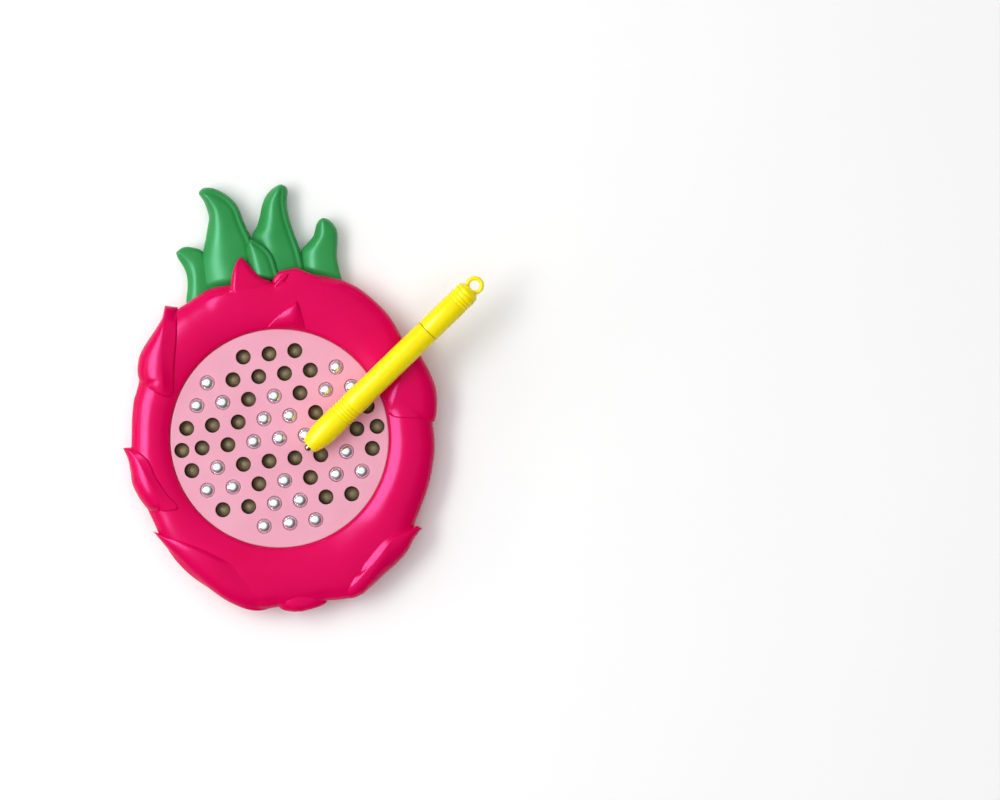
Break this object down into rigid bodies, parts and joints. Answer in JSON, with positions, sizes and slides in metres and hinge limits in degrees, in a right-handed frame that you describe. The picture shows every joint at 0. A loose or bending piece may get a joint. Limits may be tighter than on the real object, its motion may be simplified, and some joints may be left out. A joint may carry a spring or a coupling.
{
  "type": "magnetic drawing board",
  "caption": "Fruit-shaped magnetic drawing board: steel balls in a windowed panel are drawn up with a magnetic pen and pressed down again by finger.",
  "frame": {"origin": "on the flat back, under the centre of the drawing panel", "axes": "+Z out of the drawing face, +Y towards the leaves, +X to the right for somebody looking at the face"},
  "size_m": [0.1455, 0.1659, 0.0291],
  "materials": {
    "shell_magenta": "glossy",
    "panel_pink": "satin",
    "cell_dark": "satin",
    "backing_dark": "satin",
    "ball_steel": "polished",
    "leaf_green": "glossy",
    "pen_yellow": "glossy",
    "screw_zinc": "zinc plated"
  },
  "bodies": {
    "case": {"front_shell": "shell_magenta", "rear_shell": "shell_magenta", "face_panel": "panel_pink", "cell_plate": "cell_dark", "backing_plate": "backing_dark", "leaf_crown_front": "leaf_green", "leaf_crown_rear": "leaf_green", "case_screw_1": "screw_zinc", "case_screw_2": "screw_zinc", "case_screw_3": "screw_zinc", "case_screw_4": "screw_zinc", "case_screw_5": "screw_zinc", "case_screw_6": "screw_zinc"},
    "ball_01": {"raised_ball_01": "ball_steel"},
    "ball_02": {"raised_ball_02": "ball_steel"},
    "ball_03": {"raised_ball_03": "ball_steel"},
    "ball_04": {"raised_ball_04": "ball_steel"},
    "ball_05": {"raised_ball_05": "ball_steel"},
    "ball_06": {"raised_ball_06": "ball_steel"},
    "ball_07": {"raised_ball_07": "ball_steel"},
    "ball_08": {"raised_ball_08": "ball_steel"},
    "ball_09": {"raised_ball_09": "ball_steel"},
    "ball_10": {"raised_ball_10": "ball_steel"},
    "ball_11": {"raised_ball_11": "ball_steel"},
    "ball_12": {"raised_ball_12": "ball_steel"},
    "ball_13": {"raised_ball_13": "ball_steel"},
    "ball_14": {"raised_ball_14": "ball_steel"},
    "ball_15": {"raised_ball_15": "ball_steel"},
    "ball_16": {"raised_ball_16": "ball_steel"},
    "ball_17": {"raised_ball_17": "ball_steel"},
    "ball_18": {"raised_ball_18": "ball_steel"},
    "ball_19": {"raised_ball_19": "ball_steel"},
    "ball_20": {"raised_ball_20": "ball_steel"},
    "ball_21": {"raised_ball_21": "ball_steel"},
    "ball_22": {"raised_ball_22": "ball_steel"},
    "ball_23": {"raised_ball_23": "ball_steel"},
    "ball_24": {"raised_ball_24": "ball_steel"},
    "pen": {"pen_barrel": "pen_yellow", "pen_upper_barrel": "pen_yellow", "pen_end_plug": "pen_yellow", "pen_magnet": "screw_zinc", "pen_tip": "ball_steel"}
  },
  "joints": [
    {"name": "ball_01_press", "type": "slide", "parent": "case", "child": "ball_01", "axis": [0, 0, 1], "range_m": [-0.0044, 0]},
    {"name": "ball_02_press", "type": "slide", "parent": "case", "child": "ball_02", "axis": [0, 0, 1], "range_m": [-0.0044, 0]},
    {"name": "ball_03_press", "type": "slide", "parent": "case", "child": "ball_03", "axis": [0, 0, 1], "range_m": [-0.0044, 0]},
    {"name": "ball_04_press", "type": "slide", "parent": "case", "child": "ball_04", "axis": [0, 0, 1], "range_m": [-0.0044, 0]},
    {"name": "ball_05_press", "type": "slide", "parent": "case", "child": "ball_05", "axis": [0, 0, 1], "range_m": [-0.0044, 0]},
    {"name": "ball_06_press", "type": "slide", "parent": "case", "child": "ball_06", "axis": [0, 0, 1], "range_m": [-0.0044, 0]},
    {"name": "ball_07_press", "type": "slide", "parent": "case", "child": "ball_07", "axis": [0, 0, 1], "range_m": [-0.0044, 0]},
    {"name": "ball_08_press", "type": "slide", "parent": "case", "child": "ball_08", "axis": [0, 0, 1], "range_m": [-0.0044, 0]},
    {"name": "ball_09_press", "type": "slide", "parent": "case", "child": "ball_09", "axis": [0, 0, 1], "range_m": [-0.0044, 0]},
    {"name": "ball_10_press", "type": "slide", "parent": "case", "child": "ball_10", "axis": [0, 0, 1], "range_m": [-0.0044, 0]},
    {"name": "ball_11_press", "type": "slide", "parent": "case", "child": "ball_11", "axis": [0, 0, 1], "range_m": [-0.0044, 0]},
    {"name": "ball_12_press", "type": "slide", "parent": "case", "child": "ball_12", "axis": [0, 0, 1], "range_m": [-0.0044, 0]},
    {"name": "ball_13_press", "type": "slide", "parent": "case", "child": "ball_13", "axis": [0, 0, 1], "range_m": [-0.0044, 0]},
    {"name": "ball_14_press", "type": "slide", "parent": "case", "child": "ball_14", "axis": [0, 0, 1], "range_m": [-0.0044, 0]},
    {"name": "ball_15_press", "type": "slide", "parent": "case", "child": "ball_15", "axis": [0, 0, 1], "range_m": [-0.0044, 0]},
    {"name": "ball_16_press", "type": "slide", "parent": "case", "child": "ball_16", "axis": [0, 0, 1], "range_m": [-0.0044, 0]},
    {"name": "ball_17_press", "type": "slide", "parent": "case", "child": "ball_17", "axis": [0, 0, 1], "range_m": [-0.0044, 0]},
    {"name": "ball_18_press", "type": "slide", "parent": "case", "child": "ball_18", "axis": [0, 0, 1], "range_m": [-0.0044, 0]},
    {"name": "ball_19_press", "type": "slide", "parent": "case", "child": "ball_19", "axis": [0, 0, 1], "range_m": [-0.0044, 0]},
    {"name": "ball_20_press", "type": "slide", "parent": "case", "child": "ball_20", "axis": [0, 0, 1], "range_m": [-0.0044, 0]},
    {"name": "ball_21_press", "type": "slide", "parent": "case", "child": "ball_21", "axis": [0, 0, 1], "range_m": [-0.0044, 0]},
    {"name": "ball_22_press", "type": "slide", "parent": "case", "child": "ball_22", "axis": [0, 0, 1], "range_m": [-0.0044, 0]},
    {"name": "ball_23_press", "type": "slide", "parent": "case", "child": "ball_23", "axis": [0, 0, 1], "range_m": [-0.0044, 0]},
    {"name": "ball_24_press", "type": "slide", "parent": "case", "child": "ball_24", "axis": [0, 0, 1], "range_m": [-0.0044, 0]},
    {"name": "pen_lift", "type": "slide", "parent": "case", "child": "pen", "axis": [0, 0, 1], "range_m": [0, 0.06]}
  ]
}
